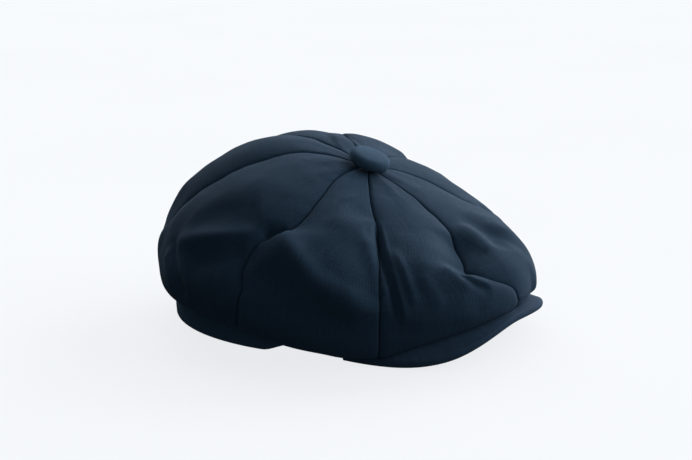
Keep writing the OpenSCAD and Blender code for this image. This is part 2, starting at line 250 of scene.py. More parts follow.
# How each seam strays from its even place, from the front seam round by the wearer's right: (t, degrees)
# The seams and folds that the photograph shows were read off it through a scratch projection of the smooth
# crown, rounded by hand, and moved by eye from render to render. The others are guessed.
SEAM_STRAY = [
    [(0, -8), (0.1, -9), (0.2, -6), (0.32, -2), (0.45, 7), (0.57, 12), (0.63, 15), (0.69, 13), (0.75, 8),
     (0.8, 3), (0.86, -2), (1.1, -4), (2, 0)],
    [(0, 2), (0.24, 2), (0.4, -1), (0.7, 1), (1.1, 1), (2, 0)],
    [(0, -4), (0.12, -7), (0.28, -14), (0.42, -15), (0.52, -13), (0.57, -6), (0.64, -3), (0.74, -3),
     (0.87, -6), (1.1, -5), (1.6, -2), (2, 0)],
    [(0, 4), (0.2, 3), (0.32, -2), (0.5, 0), (0.66, 6), (0.82, 13), (1.2, 8), (2, 0)],
    [(0, 0), (0.3, 2), (0.6, -2), (1, 3), (2, 0)],
    [(0, 0), (0.3, -2), (0.65, 3), (1, -1), (2, 0)],
    [(0, -4), (0.3, -2), (0.6, 2), (1, -2), (2, 0)],
    [(0, -15), (0.2, -13), (0.4, -6), (0.7, 1), (1.1, 2), (2, 0)],
]
SEAM_SMOOTH = 9           # half the window that rounds the seam lines, of 401 steps

# How deep each seam lies; those at the back were pressed flatter
SEAM_DEPTH = [1.0, 1.0, 1.0, 0.7, 0.35, 0.4, 0.5, 0.8]


def seam_turn(k, t):
    """Angle of seam k. Seam 8 is seam 0 after a whole turn."""
    places, strays = zip(*SEAM_STRAY[k % 8])
    grid = np.linspace(0, 2, 401)
    window = np.hanning(2 * SEAM_SMOOTH + 1)
    line = np.pad(np.interp(grid, places, strays), SEAM_SMOOTH, mode="edge")
    line = np.convolve(line, window / window.sum(), mode="valid")
    return 45.0 * k + np.interp(t, grid, line)


FOLD_FADE = 0.22          # share of a fold's length over which each end fades
BUTTON_DIP = 1.2          # mm, under the button

# Folds of the resting cloth: (height mm, half width mm, sideways lean, [(turn, t), ...])
# A height above 0 is a ridge and below 0 a valley. A lean lifts one side of the line and drops the other.
FOLDS = [
    # wearer's right, below the button: shoulder that falls towards the front
    (4.2, 8, 0, [(80, .55), (78, .57), (71, .68), (67, .75), (63, .83), (57, .89), (50, .94), (44, 1.0)]),
    (-2.6, 13, 0, [(82, .74), (75, .84), (68, .93), (60, 1.01), (52, 1.08)]),
    (1.4, 7, 0, [(44, 1.02), (36, 1.04), (28, 1.02), (18, 1.0)]),
    # level ridge that runs back from the dent in the seam
    (2.6, 6, 0, [(84, .58), (90, .60), (96, .64), (102, .68), (108, .72), (115, .77), (122, .82)]),
    (-2.6, 8, 0, [(88, .66), (95, .72), (102, .79), (111, .87)]),
    (-2.8, 12, 0, [(93, .50), (100, .55), (109, .61), (120, .68)]),
    (-5.0, 3.6, 0, [(78, .54), (82, .56), (87, .58)]),
    # fold beside the seam
    (-2.8, 1.8, 0.9, [(45, .34), (44.5, .42), (44, .54), (43, .68), (42, .84), (41.3, 1.0), (41, 1.1)]),
    (1.6, 5, 0, [(50, .44), (48, .58), (46, .72), (44, .86)]),
    (1.2, 5, 0, [(35, .72), (33, .84), (30, .99)]),
    (1.6, 3, 0, [(41, .50), (39.5, .66), (38, .82), (37, .96)]),
    # front seam, low and wavy
    (-3.6, 13, 0, [(4, .40), (14, .52), (19, .63), (17, .75)]),
    (-1.7, 2.6, 0.6, [(23, .73), (21, .79), (18, .84), (13, .88)]),
    (1.3, 5, 0, [(27, .66), (24, .74), (20, .88)]),
    # front left panel
    (-1.8, 9, 0, [(341, .36), (342, .46), (346, .56), (350, .67)]),
    (1.6, 7, 0, [(350, .38), (353, .50), (357, .62)]),
    # back right, where the crown rolls over the band, and the front beside the button
    (-2.4, 5, 0.7, [(124, .76), (117, .88), (111, 1.0), (108, 1.14)]),
    (2.4, 7, 0, [(126, .84), (119, .96), (114, 1.08)]),
    (-0.9, 9, 0, [(62, .29), (57, .31), (52, .34), (48, .38)]),
    (0.7, 8, 0, [(66, .42), (60, .44), (54, .45), (49, .45)]),
    # back
    (2.4, 24, 0, [(122, .70), (134, .68), (150, .70), (166, .72), (178, .74)]),
    (3.2, 13, 0, [(134, .86), (146, .85), (156, .86), (168, .90)]),
    (2.0, 13, 0, [(196, .17), (208, .16), (220, .16), (232, .18)]),
    (3.2, 12, 0, [(214, .24), (226, .26), (238, .30), (250, .34), (262, .38), (270, .41)]),
    (-2.4, 9, 0, [(160, .45), (168, .62), (172, .80)]),
    (2.0, 8, 0, [(150, .60), (158, .78), (164, .96)]),
    (-2.6, 4, 0.8, [(196, .66), (203, .82), (206, 1.02), (204, 1.2)]),
    (-1.8, 10, 0, [(212, .30), (208, .48), (204, .60)]),
    (1.8, 7, 0, [(186, .74), (198, .90), (214, .97), (226, .98)]),
    # wearer's left
    (4.6, 18, 0, [(304, .62), (318, .60), (330, .61), (342, .64)]),
    (2.2, 10, 0, [(326, 1.0), (334, 1.04), (343, 1.08)]),
    (2.6, 8, 0, [(236, .84), (250, .90), (262, .84), (272, .76)]),
    (-2.6, 4.4, 0.7, [(268, .56), (260, .66), (252, .78), (248, .94)]),
    (-2.2, 10, 0, [(286, .46), (292, .60), (296, .74)]),
    (-2.6, 3.4, 0.6, [(310, .50), (308, .64), (307, .80), (309, 1.0)]),
]


def fold_heights(points):
    """Sum of all folds at each point of the smooth crown, mm."""
    flat = points.reshape(-1, 3)
    total = np.zeros(len(flat))
    for height, width, lean, marks in FOLDS:
        marks = np.array(marks, float)
        n = 9 * (len(marks) - 1) + 1
        s = np.linspace(0, len(marks) - 1, n)
        turns = np.interp(s, range(len(marks)), marks[:, 0])
        ts = np.interp(s, range(len(marks)), marks[:, 1])
        line = crown_run(turns, 0.5, ts)
        # only the points near enough to feel the fold
        box = (np.abs(flat - line.mean(0)) < (np.ptp(line, axis=0) / 2 + 4 * width + 6)).all(1)
        p = flat[box]
        if not len(p):
            continue
        a, b = line[:-1], line[1:]
        ab = b - a
        k = np.clip(((p[:, None] - a) * ab).sum(-1) / ((ab * ab).sum(-1) + 1e-9), 0, 1)
        near = a + k[..., None] * ab
        away = np.linalg.norm(p[:, None] - near, axis=-1)
        i = away.argmin(1)
        rows = np.arange(len(p))
        along = (i + k[rows, i]) / (n - 1)
        fade = soft(along / FOLD_FADE) * soft((1 - along) / FOLD_FADE)
        up = crown_normal(turns[i], ts[i])
        side = np.sign((np.cross(unit(ab[i]), p - near[rows, i]) * up).sum(-1))
        dist = away[rows, i] / width
        tilt = lean * side * dist * np.exp(-(dist / 1.4) ** 2)
        total[box] += height * fade * (np.exp(-dist ** 2) - tilt)
    return total.reshape(points.shape[:-1])


def close_to_band(turn, t):
    """1 where the crown's back turns in right beside the band, and 0 elsewhere."""
    return soft((-cosd(turn) - 0.2) / 0.45) * soft((t - 1.22) / 0.18)


def crown_relief(turn, t, smooth_points):
    """How far the cloth stands off the smooth crown: folds, soft unevenness and gathers, mm."""
    relief = fold_heights(smooth_points)
    relief += 0.9 * noise3(smooth_points, 60, 1) + 0.4 * noise3(smooth_points, 24, 2)
    # gathered in under the button, which sits in a small dip
    near = np.exp(-((t - 0.16) / 0.10) ** 2)
    relief += near * (0.16 * cosd(turn * 15 + 40) + 0.22 * noise3(smooth_points, 9, 4))
    relief -= BUTTON_DIP * np.exp(-(t / 0.11) ** 2)
    # eased into the band
    tuck = soft((t - 1.5) / 0.45)
    relief += tuck * 0.7 * (cosd(turn * 31) + 0.6 * cosd(turn * 47 + 30)) * (1 - tuck * 0.6)
    # calm where the crown lies on the peak, beside the band and at its last rows
    calm = 1 - 0.85 * over_peak(turn) * soft((t - 1.08) / 0.25)
    calm = calm * (1 - 0.92 * close_to_band(turn, t))
    return relief * calm * soft((2.0 - t) / 0.12 + 0.15)


# ---------------------------------------------------------------- building meshes
def to_frame(points):
    """From mm round the head opening to metres in the frame."""
    p = np.asarray(points, float).reshape(-1, 3) * MM
    p[:, 1] += CENTRE_Y * MM
    return p


def make_object(name, verts, faces, uvs=None, smooth=True):
    """uvs: one (u, v) per vertex, in mm of cloth."""
    mesh = bpy.data.meshes.new(name)
    mesh.from_pydata([tuple(v) for v in verts], [], [tuple(int(i) for i in f) for f in faces])
    mesh.validate()
    if uvs is not None:
        layer = mesh.uv_layers.new(name="cut")
        index = np.empty(len(mesh.loops), dtype=np.int32)
        mesh.loops.foreach_get("vertex_index", index)
        layer.data.foreach_set("uv", np.asarray(uvs, dtype=np.float32)[index].ravel())
    mesh.polygons.foreach_set("use_smooth", [smooth] * len(mesh.polygons))
    mesh.update()
    obj = bpy.data.objects.new(name, mesh)
    bpy.context.scene.collection.objects.link(obj)
    return obj


def grid_faces(rows, cols, wrap_rows=False, wrap_cols=False, start=0):
    r = np.arange(rows if wrap_rows else rows - 1)
    c = np.arange(cols if wrap_cols else cols - 1)
    r, c = np.meshgrid(r, c, indexing="ij")
    r2, c2 = (r + 1) % rows, (c + 1) % cols
    faces = np.stack([r * cols + c, r * cols + c2, r2 * cols + c2, r2 * cols + c], -1)
    return (faces + start).reshape(-1, 4)


def grid_normals(g):
    return unit(np.cross(np.gradient(g, axis=0), np.gradient(g, axis=1)))


def shell(name, outer, inner, uv):
    """A closed sheet between an outer and an inner grid of points."""
    rows, cols = outer.shape[:2]
    n = rows * cols
    faces = [grid_faces(rows, cols), grid_faces(rows, cols, start=n)[:, ::-1]]
    first_row, first_col = np.arange(cols), np.arange(rows) * cols
    borders = [(first_row, False), (first_row + n - cols, True),
               (first_col, True), (first_col + cols - 1, False)]
    for run, flip in borders:
        a, b = run[:-1], run[1:]
        edge = np.stack([a, n + a, n + b, b], -1)
        faces.append(edge[:, ::-1] if flip else edge)
    verts = to_frame(np.concatenate([outer.reshape(-1, 3), inner.reshape(-1, 3)]))
    uvs = np.concatenate([uv.reshape(-1, 2), uv.reshape(-1, 2)])
    return make_object(name, verts, np.concatenate(faces), uvs)


def spun(loop, steps):
    """Angles, radii and heights of a loop of (radius, height) points turned round a circle."""
    a = np.linspace(0, 360, steps, endpoint=False)[:, None]
    return a, loop[None, :, 0] + 0 * a, loop[None, :, 1] + 0 * a


# ---------------------------------------------------------------- materials
TONE_SPAN = 0.22          # how far each side of its middle the cloth's tone runs from dark to light
CLOTH_RELIEF, GRAIN_RELIEF = 0.0004, 0.0002
SHEEN_TINT = (0.45, 0.7, 1.0, 1)


def nodes_of(name):
    mat = bpy.data.materials.new(name)
    mat.use_nodes = True
    tree = mat.node_tree
    shader = tree.nodes["Principled BSDF"]
    return mat, tree, shader


def add(tree, kind, **values):
    node = tree.nodes.new(kind)
    for key, value in values.items():
        if key in node.inputs:
            node.inputs[key].default_value = value
        else:
            setattr(node, key, value)
    return node


def set_input(node, name, value):
    node.inputs[name].default_value = value


def stretched_noise(tree, source, scale, detail, rough):
    mapping = add(tree, "ShaderNodeMapping")
    set_input(mapping, "Scale", scale)
    tex = add(tree, "ShaderNodeTexNoise")
    set_input(tex, "Scale", 1.0)
    set_input(tex, "Detail", detail)
    set_input(tex, "Roughness", rough)
    tree.links.new(source, mapping.inputs["Vector"])
    tree.links.new(mapping.outputs["Vector"], tex.inputs["Vector"])
    return tex.outputs["Fac"]


def maths(tree, operation, a, b=None, c=None):
    """A maths node. Each input is a number or another node's output."""
    node = add(tree, "ShaderNodeMath", operation=operation)
    for i, v in enumerate((a, b, c)):
        if v is None:
            continue
        if isinstance(v, (int, float)):
            node.inputs[i].default_value = v
        else:
            tree.links.new(v, node.inputs[i])
    return node.outputs[0]


def weighted_sum(tree, *parts):
    """Sum of (output, weight) pairs."""
    total = None
    for output, weight in parts:
        part = maths(tree, "MULTIPLY", output, weight)
        total = part if total is None else maths(tree, "ADD", total, part)
    return total


def colour_ramp(tree, fac, stops):
    ramp = add(tree, "ShaderNodeValToRGB")
    while len(ramp.color_ramp.elements) < len(stops):
        ramp.color_ramp.elements.new(0.5)
    for el, (pos, col) in zip(ramp.color_ramp.elements, stops):
        el.position = pos
        el.color = (*col, 1)
    tree.links.new(fac, ramp.inputs["Fac"])
    return ramp.outputs["Color"]


def cloth(name, dark, light, pitch=0.8, slub=0.6, roughness=0.9, sheen=0.05, bump=0.5, twill=False):
    """Woven cloth. Its threads follow the piece's "cut" map, in mm, and pitch is the weave's repeat."""
    mat, tree, shader = nodes_of(name)
    uv = add(tree, "ShaderNodeUVMap", uv_map="cut").outputs["UV"]
    warp = stretched_noise(tree, uv, (1.25, 0.045, 1), 3, 0.6)
    weft = stretched_noise(tree, uv, (0.05, 1.1, 1), 3, 0.6)
    patch = stretched_noise(tree, uv, (0.02, 0.02, 1), 3, 0.6)
    fuzz = stretched_noise(tree, uv, (2.2, 2.2, 1), 2, 0.7)
    parts = add(tree, "ShaderNodeSeparateXYZ")
    tree.links.new(uv, parts.inputs[0])
    repeat = 2 * math.pi / pitch
    u = maths(tree, "MULTIPLY", parts.outputs["X"], repeat)
    v = maths(tree, "MULTIPLY", parts.outputs["Y"], repeat)
    if twill:
        weave = maths(tree, "SINE", maths(tree, "ADD", u, v))
    else:
        weave = maths(tree, "MULTIPLY", maths(tree, "SINE", u), maths(tree, "SINE", v))
    tone = weighted_sum(tree, (warp, 0.5 * slub), (weft, 0.25 * slub),
                        (patch, 0.35), (fuzz, 0.2), (weave, 0.04))
    middle = (0.75 * slub + 0.55) / 2
    colour = colour_ramp(tree, tone, [(middle - TONE_SPAN, dark), (middle + TONE_SPAN, light)])
    tree.links.new(colour, shader.inputs["Base Color"])
    height = weighted_sum(tree, (weave, 0.35), (warp, 1.1), (weft, 0.7), (fuzz, 0.5))
    relief = add(tree, "ShaderNodeBump", Strength=bump, Distance=CLOTH_RELIEF)
    tree.links.new(height, relief.inputs["Height"])
    tree.links.new(relief.outputs["Normal"], shader.inputs["Normal"])
    set_input(shader, "Roughness", roughness)
    set_input(shader, "Specular IOR Level", 0.06)
    set_input(shader, "Sheen Weight", sheen)
    set_input(shader, "Sheen Roughness", 0.45)
    set_input(shader, "Sheen Tint", SHEEN_TINT)
    return mat


def plain(name, colour, spread, roughness, scale, metallic=0.0, bump=0.1, stretch=(1, 1, 1)):
    """Metal, board or thread: a fine grain in colour and relief, placed by the piece's own coordinates."""
    mat, tree, shader = nodes_of(name)
    place = add(tree, "ShaderNodeTexCoord").outputs["Object"]
    grain = stretched_noise(tree, place, tuple(scale * s for s in stretch), 3, 0.6)
    low = tuple(c * (1 - spread) for c in colour)
    high = tuple(min(1, c * (1 + spread)) for c in colour)
    tree.links.new(colour_ramp(tree, grain, [(0.3, low), (0.7, high)]), shader.inputs["Base Color"])
    relief = add(tree, "ShaderNodeBump", Strength=bump, Distance=GRAIN_RELIEF)
    tree.links.new(grain, relief.inputs["Height"])
    tree.links.new(relief.outputs["Normal"], shader.inputs["Normal"])
    set_input(shader, "Roughness", roughness)
    set_input(shader, "Metallic", metallic)
    return mat


crown_cloth = cloth("crown_cloth", (0.012, 0.028, 0.050), (0.027, 0.058, 0.102))
# painted light: the band, button and peak cloths are lighter copies of the crown's navy, so these parts come
# out brighter than the lamps alone make them
band_cloth_painted_lighter = cloth("band_cloth_painted_lighter", (0.019, 0.042, 0.073), (0.042, 0.086, 0.148))
button_cloth = cloth("button_cloth", (0.023, 0.050, 0.085), (0.049, 0.100, 0.162))
peak_cloth_painted_lighter = cloth("peak_cloth_painted_lighter", (0.016, 0.034, 0.060), (0.035, 0.070, 0.124))
lining_mat = cloth("lining_cloth", (0.010, 0.012, 0.018), (0.020, 0.024, 0.034),
                   pitch=0.4, slub=0.4, roughness=0.42, sheen=0.1, bump=0.2)
sweat_mat = cloth("sweatband_cloth", (0.012, 0.018, 0.028), (0.030, 0.040, 0.056),
                  pitch=1.1, twill=True, sheen=0.2)
stay_mat = cloth("stay_cloth", (0.60, 0.60, 0.57), (0.80, 0.80, 0.77), slub=0.5)
label_mat = cloth("label_cloth", (0.26, 0.26, 0.25), (0.38, 0.38, 0.36),
                  pitch=0.5, slub=0.4, roughness=0.6, sheen=0.1)
thread_mat = plain("thread", (0.035, 0.05, 0.075), 0.3, 0.7, 900)
board_mat = plain("peak_board", (0.78, 0.78, 0.76), 0.04, 0.45, 120, bump=0.05)
metal_mat = plain("button_metal", (0.62, 0.62, 0.64), 0.1, 0.35, 500, metallic=1.0, stretch=(1, 12, 1))


def dress(obj, mat, node):
    """Give a piece its material and its body, and hide the CAD node that it stands in for."""
    obj.data.materials.clear()
    obj.data.materials.append(mat)
    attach(obj, "root")
    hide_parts(node)
    return obj


# ---------------------------------------------------------------- crown panels
# from the front seam round by the wearer's right
PANELS = ["front_right", "mid_front_right", "mid_back_right", "back_right",
          "back_left", "mid_back_left", "mid_front_left", "front_left"]
SEEN_PANELS = (0, 1, 2, 7)     # in full view in the photograph, so finer
SEEN_COLS, HIDDEN_COLS = 68, 36
CLOTH_T = 0.8
SEAM_R = 1.15             # radius of the cloth's turn into a seam
SEAM_HALF_GAP = 0.07
ALLOWANCE = 3.4           # cloth turned in at each seam
FULL_TURN_WIDTH = 16.0    # a narrower part of a panel has smaller seam turns
PUCKERS = 67.6            # radians of pucker over one unit of t
TURNED_IN = 1.3           # t from which the crown has rolled under, towards the band


def panel_rows():
    """Places down a crown panel, closer together above its widest line."""
    return np.concatenate([np.linspace(0.035, 1, 84), np.linspace(1, 2, 44)[1:]])


def outside_band(points, t, gap):
    """Points of the crown's turned-in part, moved out to at least a gap from the band's outer face."""
    share = np.hypot(points[..., 0] / (RING_X + gap), points[..., 1] / (RING_Y + gap))
    push = np.where(t > TURNED_IN, np.maximum(1, 1 / np.maximum(share, 1e-6)), 1)
    out = points.copy()
    out[..., :2] *= push[..., None]
    return out


def panel_columns(width, full, middle_cols):
    """Places across a panel, mm from its left seam, and how far each is turned in at the seams."""
    arc = np.array([0, 30, 60, 90])
    edge_s = np.concatenate([[0], SEAM_R * (1 - cosd(arc))]) + SEAM_HALF_GAP
    edge_d = np.concatenate([[ALLOWANCE], SEAM_R * (1 - sind(arc))])
    edge_s, edge_d = edge_s[None] * full, edge_d[None] * full
    f = np.linspace(0, 1, middle_cols + 2)[None, 1:-1]
    f = f - 0.03 * np.sin(2 * np.pi * f)     # closer together near the seams
    start, w = edge_s[:, -1:], width[:, None]
    across = np.concatenate([edge_s, start + (w - 2 * start) * f, w - edge_s[:, ::-1]], 1)
    depth = np.concatenate([edge_d, np.zeros((len(width), middle_cols)), edge_d[:, ::-1]], 1)
    return across, depth


def seam_relief(i, share, off_seam, full, tight, t, smooth_points):
    """A shallow valley along each seam of panel i, with small puckers across it, mm."""
    depths = mix(SEAM_DEPTH[i], SEAM_DEPTH[(i + 1) % 8], share)
    valley = depths * (0.55 * np.exp(-off_seam / 3.6) + 0.7 * np.exp(-off_seam / 1.1))
    valley = valley * full * (1 - 0.9 * tight)
    ripple = np.sin(PUCKERS * t + 5.0 * noise3(smooth_points, 34, 5 + i))
    pucker = np.exp(-off_seam / 6.0) * ripple * full
    return pucker * 0.2 * (0.5 + 0.9 * noise3(smooth_points, 26, 15 + i)) - valley


def crown_panel(i):
    t = panel_rows()
    left, right = seam_turn(i, t), seam_turn(i + 1, t)
    mid = crown_run((left + right) / 2, 0.6, t)
    width = sum(np.linalg.norm(crown_run(seam, 0.0, t) - mid, axis=-1) for seam in (left, right))
    # below 1 where the panel is too narrow for a whole seam turn
    full = np.minimum(1, width / FULL_TURN_WIDTH)[:, None]
    across, depth = panel_columns(width, full, SEEN_COLS if i in SEEN_PANELS else HIDDEN_COLS)
    share = across / width[:, None]
    turn = mix(left[:, None], right[:, None], share)
    tt = np.broadcast_to(t[:, None], turn.shape)
    tight = close_to_band(turn, tt)
    # the allowance is trimmed where the crown rolls under
    trim = 1 - 0.72 * soft((t - 1.12) / 0.2)[:, None]
    depth = np.where(depth > SEAM_R, SEAM_R + (depth - SEAM_R) * trim, depth) * (1 - 0.95 * tight)
    base = crown_run(turn, np.sin(np.pi * np.clip(share, 0, 1)) ** 0.85, tt)
    smooth_points = crown_run(turn, 0.5, tt)
    normal = crown_normal(turn, tt)
    off_seam = np.minimum(across, width[:, None] - across)
    relief = crown_relief(turn, tt, smooth_points)
    relief = relief + seam_relief(i, share, off_seam, full, tight, tt, smooth_points)
    body = base + normal * relief[..., None]
    outward = grid_normals(body)
    outward *= np.sign((outward * normal).sum(-1, keepdims=True))
    outer = outside_band(body - normal * depth[..., None], tt, 0.25)
    # the inner face lies behind: inwards on the panel, and away from the seam on its turned edge
    to_middle = unit(np.gradient(body, axis=1)) * np.where(share < 0.5, 1.0, -1.0)[..., None]
    bend = np.clip(depth / SEAM_R / np.maximum(full, 1e-6), 0, 1)[..., None]
    back = unit(-outward * (1 - bend) + to_middle * bend)
    thickness = CLOTH_T * (1 - 0.45 * tight[..., None]) * np.minimum(1, 0.25 + full[..., None])
    inner = outside_band(outer + back * thickness, tt, 0.6)
    cut_v = lengths_along(mid)
    uv = np.stack([across - width[:, None] / 2 + 200 * i, np.broadcast_to(cut_v[:, None], across.shape)], -1)
    obj = shell("crown_" + PANELS[i], outer, inner, uv)
    dress(obj, crown_cloth, "crown_panel_" + PANELS[i])


# ---------------------------------------------------------------- rings: band, stay, sweatband
RING_STEPS = 220


def ring_profile(thickness, low, high, hem):
    """A strip's closed outline as (distance inwards, height) points, up its inside and down its outside."""
    r = thickness / 2

    def round_end(z, start):
        a = np.linspace(start, start + 180, 7)
        return np.stack([r + r * cosd(a), z + r * sind(a)], -1)

    if hem:
        turned = [(0.25, 0.25), (0.8, 0), (hem * 0.6, 0), (hem - 0.35, 0.05), (hem, 0.45), (hem - 0.25, 0.95),
                  (hem * 0.6, 1.1), (thickness + 0.15, 1.4)]
        bottom = np.array(turned) + [0, low]
        inside = np.linspace(low + 2.2, high - r, 8)[:-1]
    else:
        bottom = round_end(low + r, 180)
        inside = np.linspace(low + r, high - r, 8)[1:-1]
    inside = np.stack([np.full(len(inside), thickness), inside], -1)
    outside = np.linspace(high - r, low + r, 8)[1:]
    outside = np.stack([np.zeros(len(outside)), outside], -1)
    return np.concatenate([bottom, inside, round_end(high - r, 0), outside])


def band_swell(turn, prof, low, high, wave, bulge):
    """How far the band stands out: nothing at its top, nor at the front, where the peak lies against it."""
    middles = np.concatenate([ring(turn), rim_z(turn)[:, None]], -1)
    swell = np.sin(np.pi * np.clip((prof[:, 1] - low) / (high - low) / 0.8, 0, 1))
    free = soft((0.58 - cosd(turn)) / 0.1)
    out = unit(np.concatenate([ring(turn), np.zeros((len(turn), 1))], -1))
    return out[:, None] * (((wave * noise3(middles, 45, 3) + bulge) * free)[:, None] * swell[None])[..., None]


def ring_loop(name, inset, thickness, low, high, mat, node, wave=0.0, bulge=0.0, hem=0.0):
    """A strip round the opening, and its length. With a hem, its lower edge turns inwards by that much."""
    turn = np.linspace(0, 360, RING_STEPS, endpoint=False)
    prof = ring_profile(thickness, low, high, hem)
    secs = np.zeros((RING_STEPS, len(prof), 3))
    for j, (d, z) in enumerate(prof):
        secs[:, j] = np.concatenate([ring(turn, inset + d), (rim_z(turn) + z)[:, None]], -1)
    if wave:
        secs += band_swell(turn, prof, low, high, wave, bulge)
    around = lengths_along(secs[:, 0])
    uv = np.stack(np.broadcast_arrays(lengths_along(prof)[None], around[:, None]), -1)
    faces = grid_faces(RING_STEPS, len(prof), wrap_rows=True, wrap_cols=True)
    obj = make_object(name, to_frame(secs), faces, uv.reshape(-1, 2))
    return dress(obj, mat, node), around[-1]


# ---------------------------------------------------------------- lining
LINING_T = 0.6
LINING_INSET = OUTER_CLOTH + STAY + 2 * GAP
LINING_TOP = APEX_Z - 14
LINING_SEAM = 0.08        # half the gap between two lining panels, degrees
LINING_EASE = 1.03        # a row's cloth, against the straight line across it
INSIDE_POINT = np.array([0, -5.0, 20.0])       # tells inwards from outwards


def lining_point(turn, u, depth=0.0):
    """The lining from its top (u 0) to the sweatband (u 1), or a surface that much inside it."""
    r = ring(turn, LINING_INSET)
    out, up = sind(90 * u), np.maximum(0, cosd(90 * u))
    low = rim_z(turn) + SWEAT_H - 4
    y = mix(APEX_Y, r[..., 1], out)
    z = low + (LINING_TOP - low - depth) * up ** 1.15 + LEAN_TAN * (y - APEX_Y) * up * up * 0.6
    return np.stack([(r[..., 0] + depth * sind(turn)) * out, y + depth * cosd(turn) * out, z], -1)


def lining_panel(i):
    u = np.linspace(0.005, 1, 40)[:, None]
    c = np.linspace(0, 1, 23)[None]
    turn = mix(45 * i + LINING_SEAM, 45 * (i + 1) - LINING_SEAM, c) + 0 * u
    uu = u + 0 * c
    base = lining_point(turn, uu)
    out = grid_normals(base)
    out *= np.sign((out * (base - INSIDE_POINT)).sum(-1, keepdims=True))
    # loose in the middle, and flat at the sweatband
    calm = soft((1 - uu - 0.09) / 0.12)
    relief = (1.3 * noise3(base, 38, 30) + 0.5 * noise3(base, 16, 31)) * calm - 0.2
    seam = 1.3 * np.exp(-np.minimum(c, 1 - c) / 0.03) * np.minimum(1, uu * 4) * calm
    inward = (np.maximum(relief + 1.3, 0) - seam * 0.6) * 0.7 * soft(uu * 6) * mix(0.08, 1, calm)
    outer = base - out * inward[..., None]
    v = lengths_along(base[:, base.shape[1] // 2])
    w = np.linalg.norm(base[:, 0] - base[:, -1], axis=-1) * LINING_EASE
    uv = np.stack([(c - 0.5) * w[:, None] + 150 * i, np.broadcast_to(v[:, None], turn.shape)], -1)
    obj = shell("lining_" + PANELS[i], outer, outer - out * LINING_T, uv)
    dress(obj, lining_mat, "lining_panel_" + PANELS[i])


# ---------------------------------------------------------------- peak
PEAK_ROWS, PEAK_COLS = 26, 97
PEAK_ROLL, UNDER_EDGE = 0.955, 0.962      # where the top cover starts to roll over, and the under cover ends
BOARD_ROOM, COVER_THINNER = 0.3, 0.2      # keep the covers clear of the board
ABOVE_FLOOR = 0.05


def peak_layer(turn, w, rise, bumps=0.0):
    """A surface at a height above or below the one that the peak follows, with small bumps."""
    p = peak_point(turn + 0 * w, w + 0 * turn)
    p[..., 2] += rise + bumps
    return p


def rolled_edge(start, outward, reach, power, rise):
    """Rows that go over the peak's free edge from above to below."""
    a = np.linspace(80, -62, 11)[:, None]
    p = start[None] + outward[None] * (reach[None] * cosd(a) ** power)[..., None]
    p[..., 2] += rise * sind(a)
    return p


def peak_covers():
    turn = np.linspace(-PEAK_TURN, PEAK_TURN, PEAK_COLS)
    w = np.linspace(0, PEAK_ROLL, PEAK_ROWS)[:, None]
    half, cover = BOARD / 2 + BOARD_ROOM, COVER - COVER_THINNER
    bumps = 0.12 * noise3(peak_layer(turn[None], w, 0), 22, 12)
    # the free edge: the top cover rolls over and meets the under cover below
    root_to_edge = peak_edge(turn) - ring(turn)
    outward = unit(np.concatenate([root_to_edge, np.zeros((PEAK_COLS, 1))], -1))
    start = peak_layer(turn[None], w[-1:], PEAK_MIDDLE)[0]
    reach = np.linalg.norm(peak_edge(turn) - start[:, :2], axis=-1)
    outer = np.concatenate([peak_layer(turn[None], w, PEAK_MIDDLE + half + cover, bumps),
                            rolled_edge(start, outward, reach, 0.9, half + cover)])
    inner = np.concatenate([peak_layer(turn[None], w, PEAK_MIDDLE + half),
                            rolled_edge(start, outward, np.maximum(reach - cover, 0.3), 1, half * 0.9)])
    down = depths_down(outer)
    across = lengths_along(outer[PEAK_ROWS - 1])
    uv = np.stack(np.broadcast_arrays(across[None], down[:, None]), -1)
    top = shell("peak_top_cover_piece", outer, inner, uv)
    dress(top, peak_cloth_painted_lighter, "peak_top_cover")

    w = np.linspace(0, UNDER_EDGE, PEAK_ROWS)[:, None]
    outer = peak_layer(turn[None], w, PEAK_MIDDLE - half - cover, bumps)
    outer[..., 2] = np.maximum(outer[..., 2], ABOVE_FLOOR)
    inner = peak_layer(turn[None], w, PEAK_MIDDLE - half)
    down = depths_down(outer)
    uv = np.stack(np.broadcast_arrays(across[None], down[:, None]), -1)
    under = shell("peak_under_cover_piece", inner, outer, uv)
    dress(under, peak_cloth_painted_lighter, "peak_under_cover")


# ---------------------------------------------------------------- button
# (radius, height) points: outside from the centre of the top, over the shoulder, down the side and in under
# the edge, then inside back to the centre, clear of the shell
BUTTON_OUTSIDE = [(0.02, 7.5), (3, 7.48), (6, 7.38), (8.4, 7.18), (10.2, 6.85), (11.5, 6.35), (12.5, 5.6),
                  (13.15, 4.6), (13.45, 3.6), (13.5, 2.6), (13.4, 1.6), (13.0, 0.8), (12.2, 0.2), (11.0, 0.0),
                  (9.5, 0.0)]
BUTTON_INSIDE = [(9.5, 0.9), (12.5, 0.95), (12.6, 1.2), (12.6, 2.7), (12.55, 4.0), (12.2, 4.8), (11.4, 5.4),
                 (10.0, 5.95), (8, 6.3), (5, 6.52), (2, 6.62), (0.02, 6.65)]
BUTTON_TOP_POINTS = 9
STAY_LOOP = [(1.1, 0.8), (4, 0.82), (8, 0.8), (11.1, 0.7), (11.5, 0.4), (11.1, 0.05), (8, 0.0), (4, 0.0),
             (1.1, 0.0)]


def on_crown(points, rise):
    """From the button's own frame, z along its lean, to the cap's."""
    p = np.asarray(points, float).copy()
    p[..., 2] += rise
    c, s = math.cos(math.radians(LEAN)), math.sin(math.radians(LEAN))
    y, z = p[..., 1] * c - p[..., 2] * s, p[..., 1] * s + p[..., 2] * c
    return np.stack([p[..., 0], y + APEX_Y, z + APEX_Z], -1)


